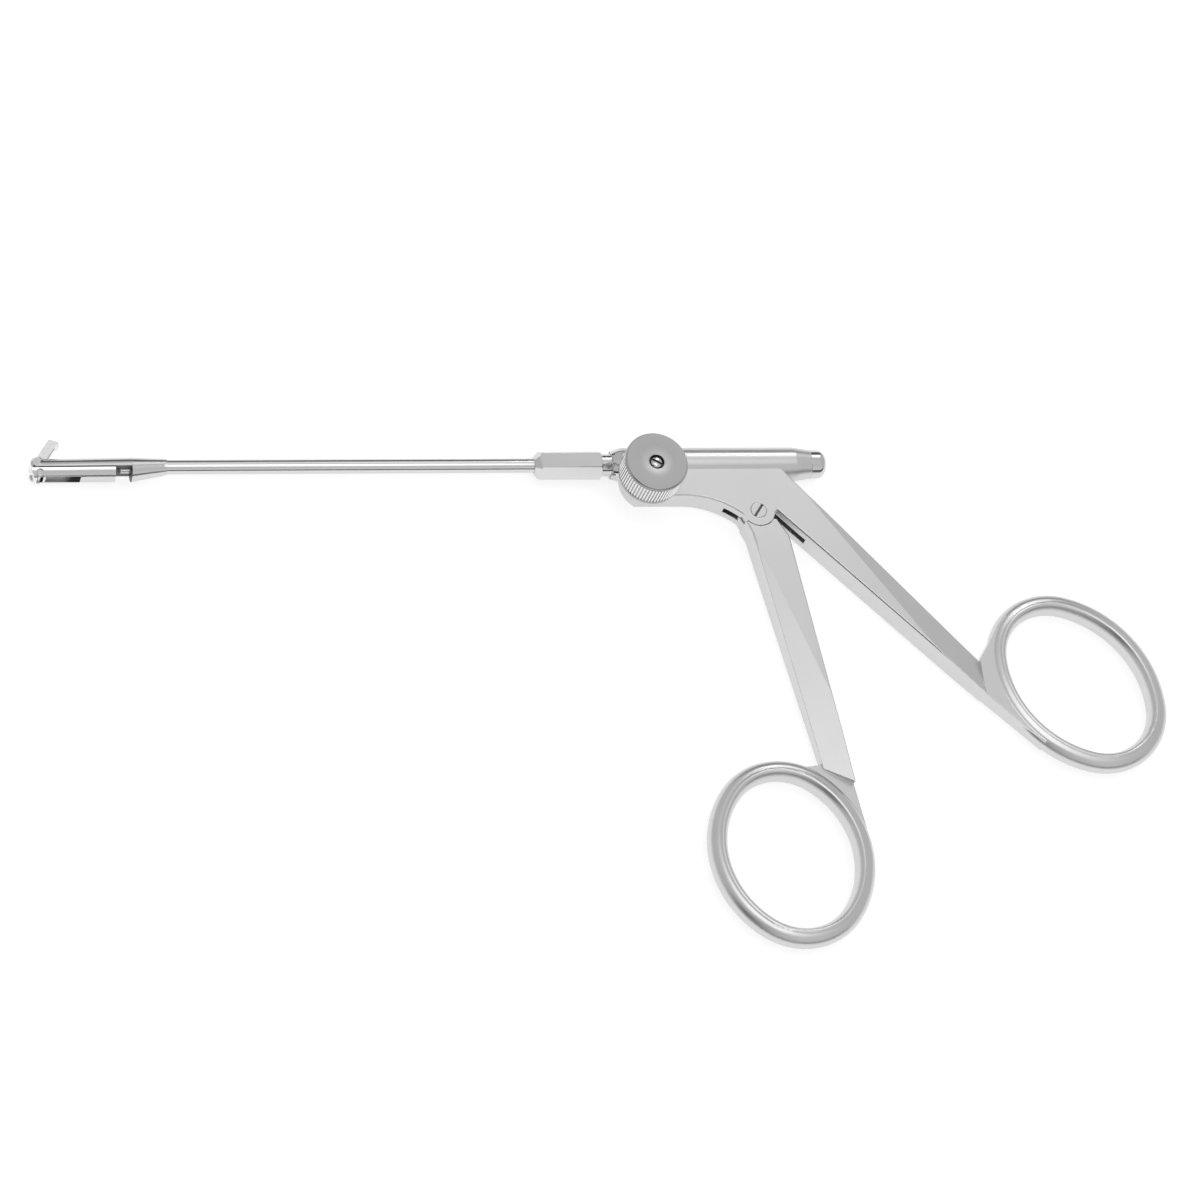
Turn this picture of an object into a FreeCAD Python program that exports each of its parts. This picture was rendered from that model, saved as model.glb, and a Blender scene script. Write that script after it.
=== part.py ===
"""Backbiter forceps: a ring-handled punch whose hinged jaw bites backwards onto its own sheath.

Every piece is drawn in the instrument's axes: the sheath runs along X with its tip towards -X, the
handles hang towards -Y, and the knob stands up along Z. The pivot screw is at x = 0 and the sheath
axis at y = 0, z = 0. At the end everything is moved so that the origin is under the middle.
Lengths are in millimetres and angles in degrees.
"""
import FreeCAD, Part
import math
import os

V = FreeCAD.Vector

# Housing: the bored tube on top of the handle frame
HOUSING_DIAMETER = 6.0
HOUSING_BORE = 4.9
HOUSING_AHEAD = 23.2          # front face, ahead of the pivot screw
HOUSING_BEHIND = 8.2          # straight part, behind the pivot screw
TAIL_TAPER = 3.0
TAIL_DIAMETER = 5.05
CAP_THREAD = 4.0
CAP_THREAD_LENGTH = 4.0
CAP_COLLAR = 1.45
CAP_DOME = 1.45               # radius of its rounded end
SEAL_SECTION = 0.4

# Nose nut, which keeps the sheath in the housing
NUT_FRONT_DIAMETER = 4.8
NUT_CONE = 1.7
NUT_THREAD = 5.2
NUT_THREAD_LENGTH = 1.2
NUT_NOTCHES = 8
NUT_NOTCH_WIDTH = 0.5
NUT_NOTCH_DEPTH = 0.35
WASHER_THICKNESS = 0.3

# Body plate of the handle frame
BODY_THICKNESS = 4.6
BODY_DEPTH = 7.0              # lower edge, below the sheath axis
NOSE_CURVE = (2.3, 4.2)       # how far it runs back and up from the lower edge
NOSE_FULLNESS = 0.55          # how far its curve swells past the straight line
EDGE_BREAK = 0.2              # chamfer along the edges of the plate and the shanks
THROAT_RADIUS = 15.5
PIVOT_DROP = 9.97             # pivot screw below the sheath axis
BOSS_RADIUS = 2.9
BOSS_START_ANGLE = -164.4     # where the throat's curve runs into the boss
BOSS_END_ANGLE = -15.0
BODY_CORNER = (3.4, 0.05)     # where the rear shank leaves the body, from the pivot

# Rear shank and both finger rings
REAR_SHANK_ANGLE = -47.2
REAR_SHANK_LENGTH = 48.0
REAR_SHANK_END = 6.4          # length of its step above the rear ring
REAR_TOP_CORNER = (7.5, -4.57)
REAR_LIP = (5.4, -1.77)
REAR_FACET = ((7.0, -3.67), (28.3, -36.67))
REAR_FACET_SLOPE = 0.26
REAR_WEB = 3.2                # thickness of the land between its shank and its ring
REAR_RING = {"centre": (53.65, -42.97), "half_long": 16.1, "half_short": 12.8, "lean": -54.2}
FRONT_RING = {"centre": (-3.1, -73.12), "half_long": 15.15, "half_short": 12.75, "lean": -82.6}
RING_WIDTH = 3.4
RING_THICKNESS = 4.3
RING_CREST = 1.15             # crest of the strand, out from its inner edge
RING_CREST_SOFTNESS = 0.4
RING_END_CURVE = 0.86         # radius at the ends of the oval, as a share of its half width

# Front lever
LEVER_GAP = 0.12              # between the body's boss and the lever's hollow shoulder
LEVER_SHOULDER = ((-2.6, -2.05), (3.0, -1.5))
LEVER_NECK = ((-1.75, -4.2), (4.85, -5.0))
LEVER_FOOT = (4.65, -48.1)
LEVER_STEP = ((3.4, -47.4), (9.7, -50.9))
LEVER_FACET = ((-2.6, -1.2), (7.0, -32.3))
LEVER_FACET_SLOPE = 0.2
LEVER_WEB = 1.2
TONGUE_THICKNESS = 1.2
TONGUE_CLEARANCE = 0.1        # each side, in the body's slot
TONGUE_HUB = 3.2
TONGUE_REACH = 8.2            # pivot to the middle of the rounded tip
TONGUE_TIP = 0.9
SLOT_AHEAD = 5.7
SLOT_BEHIND = 3.4
SLOT_DEPTH = 2.0              # where it runs on into the rear shank
SLOT_RUNOUT = 7.0

# Pivot screw
PIVOT_JOURNAL = 1.7
PIVOT_HEAD = 2.8
PIVOT_HEAD_HEIGHT = 0.8
PIVOT_SLOT_ANGLE = 53.0
SCREW_SLOT_WIDTH = 0.38
SCREW_SLOT_DEPTH = 0.4

# Fixing knob and its stem, which jams a groove in the sheath's stem
KNOB_AHEAD = 19.3
KNOB_DROP = 3.85
KNOB_DIAMETER = 11.1
KNOB_HEIGHT = 5.85
KNOB_LIFT = 0.2               # over the top of the housing
KNOB_RECESS = 2.65
KNOB_RECESS_DEPTH = 0.95
KNOB_SPIGOT = 2.2
FIXING_STEM = 3.1
FIXING_THREAD = 2.6
FIXING_THREAD_LENGTH = 1.95
FIXING_SHOULDER = 3.6
FIXING_SHOULDER_DEPTH = 1.4   # of its hole, below the face of the plate
KNOB_SCREW_HEAD = 2.2
KNOB_SCREW_SHANK = 1.4
KNOB_SCREW_SLOT_ANGLE = -30.0

# Sheath
NECK_DIAMETER = 3.9
NECK_LENGTH = 1.8             # bare neck between the nose nut and the hexagon
STEM_END = 6.0                # rear end of the stem, ahead of the pivot
FIXING_GROOVE_WIDTH = 1.8
HEX_LENGTH = 11.9
HEX_CORNERS = 5.42
HEX_TURN = 2.0                # the hexagon isn't indexed to the jaw
TUBE_DIAMETER = 2.5
TUBE_BORE = 1.7
TUBE_BARE = 63.8              # between the hexagon and the head
TUBE_SOCKET = 3.0             # held in the stem and in the head

# Head: a saddle above and a slider below, split along the sheath
HEAD_DIAMETER = 4.16
HEAD_DROP = 0.47              # its axis, below the sheath axis
HEAD_FRONT_DIAMETER = 3.86
FERRULE_LENGTH = 6.05
FERRULE_RING = 0.5
FERRULE_RING_DIAMETER = 2.8
NOTCH_LENGTH = 2.8
SLIDER_LENGTH = 14.1
SPLIT_DROP = 0.65             # underside of the saddle, below the sheath axis
SPLIT_GAP = 0.2
WINDOW_WIDTH = 2.1            # through saddle and slider, for the jaw
SLIDER_WINDOW = 8.15          # length of the slider's window at its lower side
WINDOW_RAKE = 0.7
SLIDER_NOSE = 1.6
RAIL_DIAMETER = 1.2
RAIL_DROP = 0.6
RAIL_CLEARANCE = 0.05
RAIL_STUB = 1.0

# Jaw
JAW_LEAN = 56.5               # from the sheath, as it stands at rest
JAW_WIDTH = 1.9
JAW_PIVOT = (1.15, 0.25)      # behind the tip of the head, and above the sheath axis
JAW_HUB = 1.15
JAW_BACK = 0.62
JAW_BITE = 0.88
JAW_LENGTH = 5.42
JAW_HOOK = 0.52
JAW_RAIL = 0.42               # wall left each side of its cup
JAW_CUP_DEPTH = 0.85
DRIVE_DROP = 1.9              # drive pin below the jaw's pivot
DRIVE_OFFSET = 0.25           # and behind it
JAW_TAIL = 2.75
TAIL_SLOT = 1.12
JAW_PIN = 0.9
DRIVE_PIN = 0.8
DRIVE_PIN_HEAD = 1.15
PIN_HEAD_HEIGHT = 0.3
EAR_CHAMFER = 0.35

# Drive rod and the spool that the lever's tongue moves
ROD_DIAMETER = 1.0
ROD_CRANK = 2.0               # length of its double bend
ROD_PASSAGE = 1.2
SPOOL_DIAMETER = 4.3
SPOOL_CORE = 1.6
SPOOL_FLANGE = 1.2
SPOOL_PLAY = 0.1              # each side of the tongue's tip
NUT_WIDTH = 2.6               # across the flats of the spool's lock nut
NUT_THICKNESS = 1.0

RUN = 0.03                    # radial clearance of a turning fit
BORE_RUN = 0.05               # radial clearance of the stem in the housing

# Places worked out from the sizes above
half_body = BODY_THICKNESS / 2
pivot = V(0, -PIVOT_DROP, 0)
housing_front = -HOUSING_AHEAD
tail_end = HOUSING_BEHIND + TAIL_TAPER
cap_seat = tail_end - CAP_THREAD_LENGTH
nut_rear = housing_front + NUT_THREAD_LENGTH
stem_front = nut_rear + WASHER_THICKNESS
nose_tip = housing_front - NUT_CONE
hex_rear = nose_tip - NECK_LENGTH
hex_front = hex_rear - HEX_LENGTH
head_rear = hex_front - TUBE_BARE
ferrule_front = head_rear - FERRULE_LENGTH
slider_rear = ferrule_front - NOTCH_LENGTH
head_tip = slider_rear - SLIDER_LENGTH
slider_top = -SPLIT_DROP - SPLIT_GAP
jaw_axis = V(head_tip + JAW_PIVOT[0], JAW_PIVOT[1], 0)
drive_axis = V(jaw_axis.x + DRIVE_OFFSET, jaw_axis.y - DRIVE_DROP, 0)
window_end = jaw_axis.x + math.hypot(JAW_LENGTH, JAW_BITE) + 0.4
slider_window_end = head_tip + SLIDER_WINDOW
knob_axis = V(-KNOB_AHEAD, -KNOB_DROP, 0)
knob_base = HOUSING_DIAMETER / 2 + KNOB_LIFT
knob_top = knob_base + KNOB_HEIGHT
stem_waist = -half_body + FIXING_THREAD_LENGTH
stem_shoulder = half_body - FIXING_SHOULDER_DEPTH
groove_radius = KNOB_DROP - FIXING_STEM / 2 - BORE_RUN
spool_half_groove = TONGUE_TIP + SPOOL_PLAY
spool_rear = spool_half_groove + SPOOL_FLANGE

pieces = {}


def direction(angle):
    """Unit vector in the XY plane."""
    return V(math.cos(math.radians(angle)), math.sin(math.radians(angle)), 0)


def rod_x(diameter, x0, x1, y=0.0):
    """Round bar along the sheath."""
    return Part.makeCylinder(diameter / 2, x1 - x0, V(x0, y, 0), V(1, 0, 0))


def post(diameter, z0, z1, centre):
    """Round bar standing along Z."""
    return Part.makeCylinder(diameter / 2, z1 - z0, V(centre.x, centre.y, z0), V(0, 0, 1))


def block(x0, x1, y0, y1, z0, z1):
    return Part.makeBox(x1 - x0, y1 - y0, z1 - z0, V(x0, y0, z0))


def slab(points, thickness):
    """Flat outline, given as (x, y) corners, centred on z = 0."""
    corners = [V(x, y, -thickness / 2) for x, y in points]
    face = Part.Face(Part.makePolygon(corners + corners[:1]))
    return face.extrude(V(0, 0, thickness))


def turned_x(profile):
    """Solid turned about the sheath axis from (x, radius) corners."""
    corners = [V(x, r, 0) for x, r in profile]
    face = Part.Face(Part.makePolygon(corners + corners[:1]))
    return face.revolve(V(0, 0, 0), V(1, 0, 0), 360)


def turned_z(profile, centre):
    """Solid turned about a standing axis from (radius, z) corners."""
    corners = [V(centre.x + r, centre.y, z) for r, z in profile]
    face = Part.Face(Part.makePolygon(corners + corners[:1]))
    return face.revolve(centre, V(0, 0, 1), 360)


def from_pivot(point):
    """A point given from the pivot screw, as (x, y)."""
    return (pivot.x + point[0], pivot.y + point[1])


def screw_slot(centre, top, head, angle):
    """Cutter for a screwdriver slot across a head."""
    cutter = block(-head, head, -SCREW_SLOT_WIDTH / 2, SCREW_SLOT_WIDTH / 2,
                   top - SCREW_SLOT_DEPTH, top + SCREW_SLOT_DEPTH)
    cutter.rotate(V(0, 0, 0), V(0, 0, 1), angle)
    cutter.translate(V(centre.x, centre.y, 0))
    return cutter


def ring_arcs(ring):
    """The four arcs of a finger ring's centre line, each as (centre, radius, first angle, sweep)."""
    a, b = ring["half_long"], ring["half_short"]
    small = RING_END_CURVE * b
    large = (a * a + b * b - 2 * a * small) / (2 * (b - small))
    centre, lean = V(ring["centre"][0], ring["centre"][1], 0), ring["lean"]
    half = math.degrees(math.atan2(large - b, a - small))
    arcs = []
    for turn in (0, 180):
        end = centre + direction(lean + turn) * (a - small)
        side = centre + direction(lean + turn - 90) * (large - b)
        arcs.append((end, small, lean + turn - half, 2 * half))
        arcs.append((side, large, lean + turn + half, 180 - 2 * half))
    return arcs


def ring_point(ring, angle, grow=0.0):
    """Point of a finger ring, the angle counted from its long axis."""
    along = direction(ring["lean"]) * ((ring["half_long"] + grow) * math.cos(math.radians(angle)))
    across = direction(ring["lean"] + 90) * ((ring["half_short"] + grow) * math.sin(math.radians(angle)))
    return (ring["centre"][0] + along.x + across.x, ring["centre"][1] + along.y + across.y)


def strand_section(centre, radius, angle):
    """Section of a ring's strand, with a soft crest on each face near the inner edge."""
    outward = direction(angle)
    start = centre + outward * (radius - RING_WIDTH / 2)

    def at(across, height):
        return start + outward * across + V(0, 0, height)

    half = RING_THICKNESS / 2
    soft, low = RING_CREST_SOFTNESS, RING_THICKNESS / 2 - 0.4 * RING_CREST_SOFTNESS
    arcs = [
        Part.Arc(at(RING_CREST - soft, -low), at(0, 0), at(RING_CREST - soft, low)),
        Part.Arc(at(RING_CREST - soft, low), at(RING_CREST, half), at(RING_CREST + soft, low)),
        Part.Arc(at(RING_CREST + soft, low), at(RING_WIDTH, 0), at(RING_CREST + soft, -low)),
        Part.Arc(at(RING_CREST + soft, -low), at(RING_CREST, -half), at(RING_CREST - soft, -low)),
    ]
    return Part.Face(Part.Wire([arc.toShape() for arc in arcs]))


def finger_ring(ring):
    """Closed oval strand, turned round each of its four arcs."""
    quarters = [strand_section(centre, radius, angle).revolve(centre, V(0, 0, 1), sweep)
                for centre, radius, angle, sweep in ring_arcs(ring)]
    return quarters[0].fuse(quarters[1:])


def ring_web(ring, outline, thickness):
    """Lower land between a shank's step and the ring, stopping at the ring's centre line."""
    land = slab(outline, thickness)
    opening = Part.Face(Part.Wire([arc_edge(centre, radius, angle, angle + sweep)
                                   for centre, radius, angle, sweep in ring_arcs(ring)]))
    opening.translate(V(0, 0, -BODY_THICKNESS))
    return land.cut(opening.extrude(V(0, 0, 2 * BODY_THICKNESS)))


def cut_facets(solid, line, side, slope):
    """Grind a long slanting facet on both faces of a shank, falling away to one side of a line."""
    start, end = V(line[0][0], line[0][1], 0), V(line[1][0], line[1][1], 0)
    along = (end - start).normalize()
    across = along.cross(V(0, 0, 1)) * side
    width, run = 14.0, (end - start).Length * 2.0
    for face in (1, -1):
        corners = [
            start + V(0, 0, face * half_body),
            start + across * width + V(0, 0, face * (half_body - slope * width)),
            start + across * width + V(0, 0, face * (half_body + 1.0)),
            start + V(0, 0, face * (half_body + 1.0)),
        ]
        wedge = Part.Face(Part.makePolygon(corners + corners[:1])).extrude(along * run)
        solid = solid.cut(wedge)
    return solid


def arc_edge(centre, radius, a0, a1):
    """Arc in the XY plane, from one angle to another."""
    points = [centre + direction(a) * radius for a in (a0, (a0 + a1) / 2, a1)]
    return Part.Arc(*points).toShape()


def line_edges(points):
    vectors = [V(x, y, 0) for x, y in points]
    return [Part.makeLine(a, b) for a, b in zip(vectors[:-1], vectors[1:])]


def broken_edges(plate):
    """A plate with a small chamfer round both its faces, except on the boss round the pivot."""
    rims = []
    for edge in plate.Edges:
        on_face = edge.BoundBox.ZLength < 1e-6 and abs(abs(edge.BoundBox.ZMin) - half_body) < 1e-6
        arc = isinstance(edge.Curve, Part.Circle)
        on_boss = arc and edge.Curve.Center.add(V(0, 0, -edge.Curve.Center.z)).isEqual(pivot, 1e-6)
        if on_face and not on_boss:
            rims.append(edge)
    return plate.makeChamfer(EDGE_BREAK, rims)


def body_outline():
    """Side outline of the body plate and the rear shank."""
    # the throat's arc leaves the lower edge smoothly and ends on the boss
    meet = pivot + direction(BOSS_START_ANGLE) * BOSS_RADIUS
    drop = -BODY_DEPTH - meet.y
    throat_start = meet.x - math.sqrt(2 * THROAT_RADIUS * drop - drop ** 2)
    throat_centre = V(throat_start, -BODY_DEPTH - THROAT_RADIUS, 0)
    throat_angle = math.degrees(math.atan2(meet.y - throat_centre.y, meet.x - throat_centre.x))
    boss_end = pivot + direction(BOSS_END_ANGLE) * BOSS_RADIUS

    corner = from_pivot(BODY_CORNER)
    shank = direction(REAR_SHANK_ANGLE) * REAR_SHANK_LENGTH
    shank_end = (corner[0] + shank.x, corner[1] + shank.y)
    # the nose is a full curve from the front face down to the lower edge
    nose_top = V(housing_front, -BODY_DEPTH + NOSE_CURVE[1], 0)
    nose_foot = V(housing_front + NOSE_CURVE[0], -BODY_DEPTH, 0)
    outward = (nose_foot - nose_top).cross(V(0, 0, 1)).normalize()
    nose_middle = (nose_top + nose_foot) / 2 + outward * NOSE_FULLNESS
    edges = line_edges([(housing_front, 0), (nose_top.x, nose_top.y)])
    edges.append(Part.Arc(nose_top, nose_middle, nose_foot).toShape())
    edges += line_edges([(nose_foot.x, nose_foot.y), (throat_start, -BODY_DEPTH)])
    edges.append(arc_edge(throat_centre, THROAT_RADIUS, 90, throat_angle))
    edges.append(arc_edge(pivot, BOSS_RADIUS, BOSS_START_ANGLE, BOSS_END_ANGLE))
    edges += line_edges([
        (boss_end.x, boss_end.y),
        corner,
        shank_end,
        (shank_end[0], shank_end[1] + REAR_SHANK_END),
        REAR_TOP_CORNER,
        REAR_LIP,
        (REAR_LIP[0], 0),
        (housing_front, 0),
    ])
    return Part.Wire(edges), corner, shank_end


def handle_frame():
    """Body plate, housing tube, rear shank and rear ring, forged and bored as one piece."""
    outline, corner, shank_end = body_outline()
    plate = Part.Face(outline).extrude(V(0, 0, BODY_THICKNESS))
    plate.translate(V(0, 0, -half_body))
    plate = broken_edges(plate)
    plate = cut_facets(plate, REAR_FACET, -1, REAR_FACET_SLOPE)
    step_top = (shank_end[0], shank_end[1] + REAR_SHANK_END)
    web = ring_web(REAR_RING, [step_top, shank_end, ring_point(REAR_RING, -75, 1.2),
                               REAR_RING["centre"], ring_point(REAR_RING, -172, 1.2)], REAR_WEB)
    housing = turned_x([
        (housing_front, 0), (housing_front, HOUSING_DIAMETER / 2),
        (HOUSING_BEHIND, HOUSING_DIAMETER / 2), (tail_end, TAIL_DIAMETER / 2), (tail_end, 0),
    ])
    frame = plate.fuse([web, finger_ring(REAR_RING), housing])

    frame = frame.cut(rod_x(HOUSING_BORE, housing_front - 1, cap_seat))
    frame = frame.cut(rod_x(NUT_THREAD, housing_front - 1, stem_front))
    frame = frame.cut(rod_x(CAP_THREAD, cap_seat - 1, tail_end + 1))

    # slot that the lever's tongue swings in, run on by the saw into the rear shank
    shank = direction(REAR_SHANK_ANGLE)
    inward = direction(REAR_SHANK_ANGLE + 90) * SLOT_DEPTH
    runout = V(corner[0], corner[1], 0) + shank * SLOT_RUNOUT
    slot = slab([
        (-SLOT_AHEAD, 0), (SLOT_BEHIND, 0), (SLOT_BEHIND, corner[1] + SLOT_DEPTH + 1.0),
        (corner[0] + inward.x, corner[1] + inward.y), (runout.x + inward.x, runout.y + inward.y),
        (runout.x - inward.x, runout.y - inward.y), (-SLOT_AHEAD, runout.y),
    ], TONGUE_THICKNESS + 2 * TONGUE_CLEARANCE)
    frame = frame.cut(slot)

    # pivot hole, with a seat for the screw's head in the near ear
    frame = frame.cut(post(PIVOT_JOURNAL, -half_body - 1, half_body + 1, pivot))
    frame = frame.cut(post(PIVOT_HEAD + 2 * RUN, half_body - PIVOT_HEAD_HEIGHT, half_body + 1, pivot))

    # stepped hole for the fixing stem, breaking into the bore
    frame = frame.cut(post(FIXING_THREAD + 2 * RUN, -half_body - 1, stem_waist, knob_axis))
    frame = frame.cut(post(FIXING_STEM + 2 * RUN, stem_waist, stem_shoulder, knob_axis))
    frame = frame.cut(post(FIXING_SHOULDER + 2 * RUN, stem_shoulder, knob_base, knob_axis))
    return frame.removeSplitter()


def nose_nut():
    """Conical nut with spanner notches round its front rim."""
    nut = turned_x([
        (nose_tip, NECK_DIAMETER / 2 + BORE_RUN), (nose_tip, NUT_FRONT_DIAMETER / 2),
        (housing_front, HOUSING_DIAMETER / 2), (housing_front, NUT_THREAD / 2),
        (nut_rear, NUT_THREAD / 2), (nut_rear, NECK_DIAMETER / 2 + BORE_RUN),
    ])
    for k in range(NUT_NOTCHES):
        notch = block(nose_tip - 1, nose_tip + NUT_NOTCH_WIDTH, -NUT_NOTCH_WIDTH / 2, NUT_NOTCH_WIDTH / 2,
                      NUT_FRONT_DIAMETER / 2 - NUT_NOTCH_DEPTH, HOUSING_DIAMETER)
        notch.rotate(V(0, 0, 0), V(1, 0, 0), 360.0 * (k + 0.5) / NUT_NOTCHES)
        nut = nut.cut(notch)
    return nut


def thrust_washer():
    return rod_x(NUT_THREAD - 2 * BORE_RUN, nut_rear, stem_front).cut(
        rod_x(NECK_DIAMETER + 2 * BORE_RUN, nut_rear - 1, stem_front + 1))


def end_cap():
    """Round-ended screw cap that closes the rear of the housing."""
    radius, thread = TAIL_DIAMETER / 2, CAP_THREAD / 2
    collar_end = tail_end + CAP_COLLAR
    groove = cap_seat + CAP_THREAD_LENGTH / 2
    bottom = [
        (cap_seat, 0), (cap_seat, thread), (groove, thread), (groove, thread - SEAL_SECTION),
        (groove + SEAL_SECTION, thread - SEAL_SECTION), (groove + SEAL_SECTION, thread),
        (tail_end, thread), (tail_end, radius), (collar_end, radius),
    ]
    edges = line_edges(bottom)
    edges.append(arc_edge(V(collar_end, radius - CAP_DOME, 0), CAP_DOME, 90, 0))
    edges += line_edges([
        (collar_end + CAP_DOME, radius - CAP_DOME), (collar_end + CAP_DOME, 0), (cap_seat, 0),
    ])
    return Part.Face(Part.Wire(edges)).revolve(V(0, 0, 0), V(1, 0, 0), 360)


def cap_seal():
    groove = cap_seat + CAP_THREAD_LENGTH / 2
    return rod_x(CAP_THREAD, groove, groove + SEAL_SECTION).cut(
        rod_x(CAP_THREAD - 2 * SEAL_SECTION, groove - 1, groove + 1))


def pivot_screw():
    """Slotted screw, flush in the near ear and threaded into the far one."""
    screw = post(PIVOT_JOURNAL, -half_body, half_body, pivot).fuse(
        post(PIVOT_HEAD, half_body - PIVOT_HEAD_HEIGHT, half_body + RUN, pivot))
    screw = screw.cut(screw_slot(pivot, half_body + RUN, PIVOT_HEAD, PIVOT_SLOT_ANGLE))
    return screw.removeSplitter()


def fixing_stem():
    """Threaded stem whose waist sits in the sheath's groove and whose shoulder wedges it."""
    spigot_top = knob_top - KNOB_RECESS_DEPTH - 0.5
    stem = turned_z([
        (0, -half_body), (FIXING_THREAD / 2, -half_body), (FIXING_THREAD / 2, stem_waist + RUN),
        (FIXING_STEM / 2, stem_waist + RUN), (FIXING_STEM / 2, stem_shoulder),
        (FIXING_SHOULDER / 2, stem_shoulder + 0.6), (FIXING_SHOULDER / 2, knob_base),
        (KNOB_SPIGOT / 2, knob_base), (KNOB_SPIGOT / 2, spigot_top), (0, spigot_top),
    ], knob_axis)
    return stem.cut(post(KNOB_SCREW_SHANK, knob_base, spigot_top + 1, knob_axis))


def fixing_knob():
    """Knurled disc with a groove under its face and a recess for the screw."""
    radius = KNOB_DIAMETER / 2
    rim = radius - 0.12
    recess_floor = knob_top - KNOB_RECESS_DEPTH
    return turned_z([
        (KNOB_SPIGOT / 2, knob_base), (radius - 0.5, knob_base), (rim, knob_base + 0.45),
        (rim, knob_base + 1.1), (radius, knob_base + 1.3), (radius, knob_top - 0.95),
        (radius - 0.22, knob_top - 0.8), (radius - 0.22, knob_top - 0.6),
        (radius, knob_top - 0.45), (radius, knob_top - 0.15), (radius - 0.15, knob_top),
        (KNOB_RECESS / 2, knob_top), (KNOB_RECESS / 2, recess_floor),
        (KNOB_SCREW_SHANK / 2 + RUN, recess_floor), (KNOB_SCREW_SHANK / 2 + RUN, recess_floor - 0.5),
        (KNOB_SPIGOT / 2, recess_floor - 0.5),
    ], knob_axis)


def knob_screw():
    """Slotted screw with a domed head, down into the stem."""
    floor = knob_top - KNOB_RECESS_DEPTH
    head, shank = KNOB_SCREW_HEAD / 2, KNOB_SCREW_SHANK / 2
    screw = turned_z([
        (0, knob_base + 0.4), (shank, knob_base + 0.4), (shank, floor), (head, floor),
        (head, floor + 0.55), (head * 0.8, floor + 0.78), (head * 0.4, knob_top - 0.05),
        (0, knob_top - 0.05),
    ], knob_axis)
    return screw.cut(screw_slot(knob_axis, knob_top - 0.05, KNOB_SCREW_HEAD, KNOB_SCREW_SLOT_ANGLE))


def finger_lever():
    """Front shank and ring, with a thin tongue that reaches up into the housing."""
    left, right = from_pivot(LEVER_SHOULDER[0]), from_pivot(LEVER_SHOULDER[1])
    neck_left, neck_right = from_pivot(LEVER_NECK[0]), from_pivot(LEVER_NECK[1])
    step_left, step_right = from_pivot(LEVER_STEP[0]), from_pivot(LEVER_STEP[1])
    foot = from_pivot(LEVER_FOOT)
    shank = broken_edges(slab([left, right, neck_right, step_right, foot, neck_left],
                              BODY_THICKNESS))
    shank = shank.cut(post(2 * (BOSS_RADIUS + LEVER_GAP), -half_body - 1, half_body + 1, pivot))
    shank = cut_facets(shank, [from_pivot(p) for p in LEVER_FACET], 1, LEVER_FACET_SLOPE)
    web = ring_web(FRONT_RING, [step_left, (foot[0] + 0.3, foot[1] + 1.0),
                                (step_right[0] - 0.4, step_right[1] + 1.0), step_right,
                                ring_point(FRONT_RING, 92, 1.5),
                                FRONT_RING["centre"], ring_point(FRONT_RING, 158, 0.8)], LEVER_WEB)

    tip = V(pivot.x, pivot.y + TONGUE_REACH, 0)
    half_tongue = TONGUE_THICKNESS / 2
    tongue = post(2 * TONGUE_HUB, -half_tongue, half_tongue, pivot)
    tongue = tongue.fuse(post(2 * TONGUE_TIP, -half_tongue, half_tongue, tip))
    waist = TONGUE_TIP - 0.15
    tongue = tongue.fuse(slab([
        (tip.x - waist, tip.y), (tip.x + waist, tip.y), (tip.x + waist, -SPOOL_DIAMETER / 2 - 0.8),
        (pivot.x + 1.9, pivot.y + 2.4), (pivot.x - 1.9, pivot.y + 2.4),
        (tip.x - waist, -SPOOL_DIAMETER / 2 - 0.8),
    ], TONGUE_THICKNESS))
    tongue = tongue.fuse(slab([
        (pivot.x - 2.6, pivot.y - 1.5), (pivot.x + 2.6, pivot.y - 1.5),
        (neck_right[0] - 1.0, neck_right[1]), (neck_left[0] + 0.4, neck_left[1]),
    ], TONGUE_THICKNESS))
    lever = shank.fuse([web, finger_ring(FRONT_RING), tongue])
    lever = lever.cut(post(PIVOT_JOURNAL + 2 * RUN, -half_body, half_body, pivot))
    return lever.removeSplitter()


def sheath_stem():
    """Rear end of the sheath: polished neck, bearing collar and the groove that the knob jams."""
    neck, collar = NECK_DIAMETER / 2, HOUSING_BORE / 2 - BORE_RUN
    g0 = knob_axis.x - FIXING_GROOVE_WIDTH / 2
    g1 = knob_axis.x + FIXING_GROOVE_WIDTH / 2
    face = stem_front + BORE_RUN
    stem = turned_x([
        (hex_rear, 0), (hex_rear, neck), (face, neck), (face, collar),
        (g0, collar), (g0, groove_radius), (g1, groove_radius), (g1, collar),
        (-STEM_END, collar), (-STEM_END, 0),
    ])
    stem = stem.cut(rod_x(ROD_PASSAGE, hex_rear - 1, -STEM_END + 1))
    return stem.cut(rod_x(TUBE_DIAMETER, hex_rear - 1, hex_rear + TUBE_SOCKET))


def hex_grip():
    """Hexagon for turning the sheath, coned in front and chamfered behind."""
    corners = [V(hex_front, HEX_CORNERS / 2 * math.cos(math.radians(60 * k + HEX_TURN)),
                 HEX_CORNERS / 2 * math.sin(math.radians(60 * k + HEX_TURN))) for k in range(6)]
    prism = Part.Face(Part.makePolygon(corners + corners[:1])).extrude(V(HEX_LENGTH, 0, 0))
    widest = HEX_CORNERS / 2 + 0.1
    turned = turned_x([
        (hex_front, 0), (hex_front, TUBE_DIAMETER / 2 + 0.25), (hex_front + 1.2, widest),
        (hex_rear - 0.4, widest), (hex_rear, NECK_DIAMETER / 2 + 0.3), (hex_rear, 0),
    ])
    return prism.common(turned).cut(rod_x(TUBE_DIAMETER, hex_front - 1, hex_rear + 1))


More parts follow.
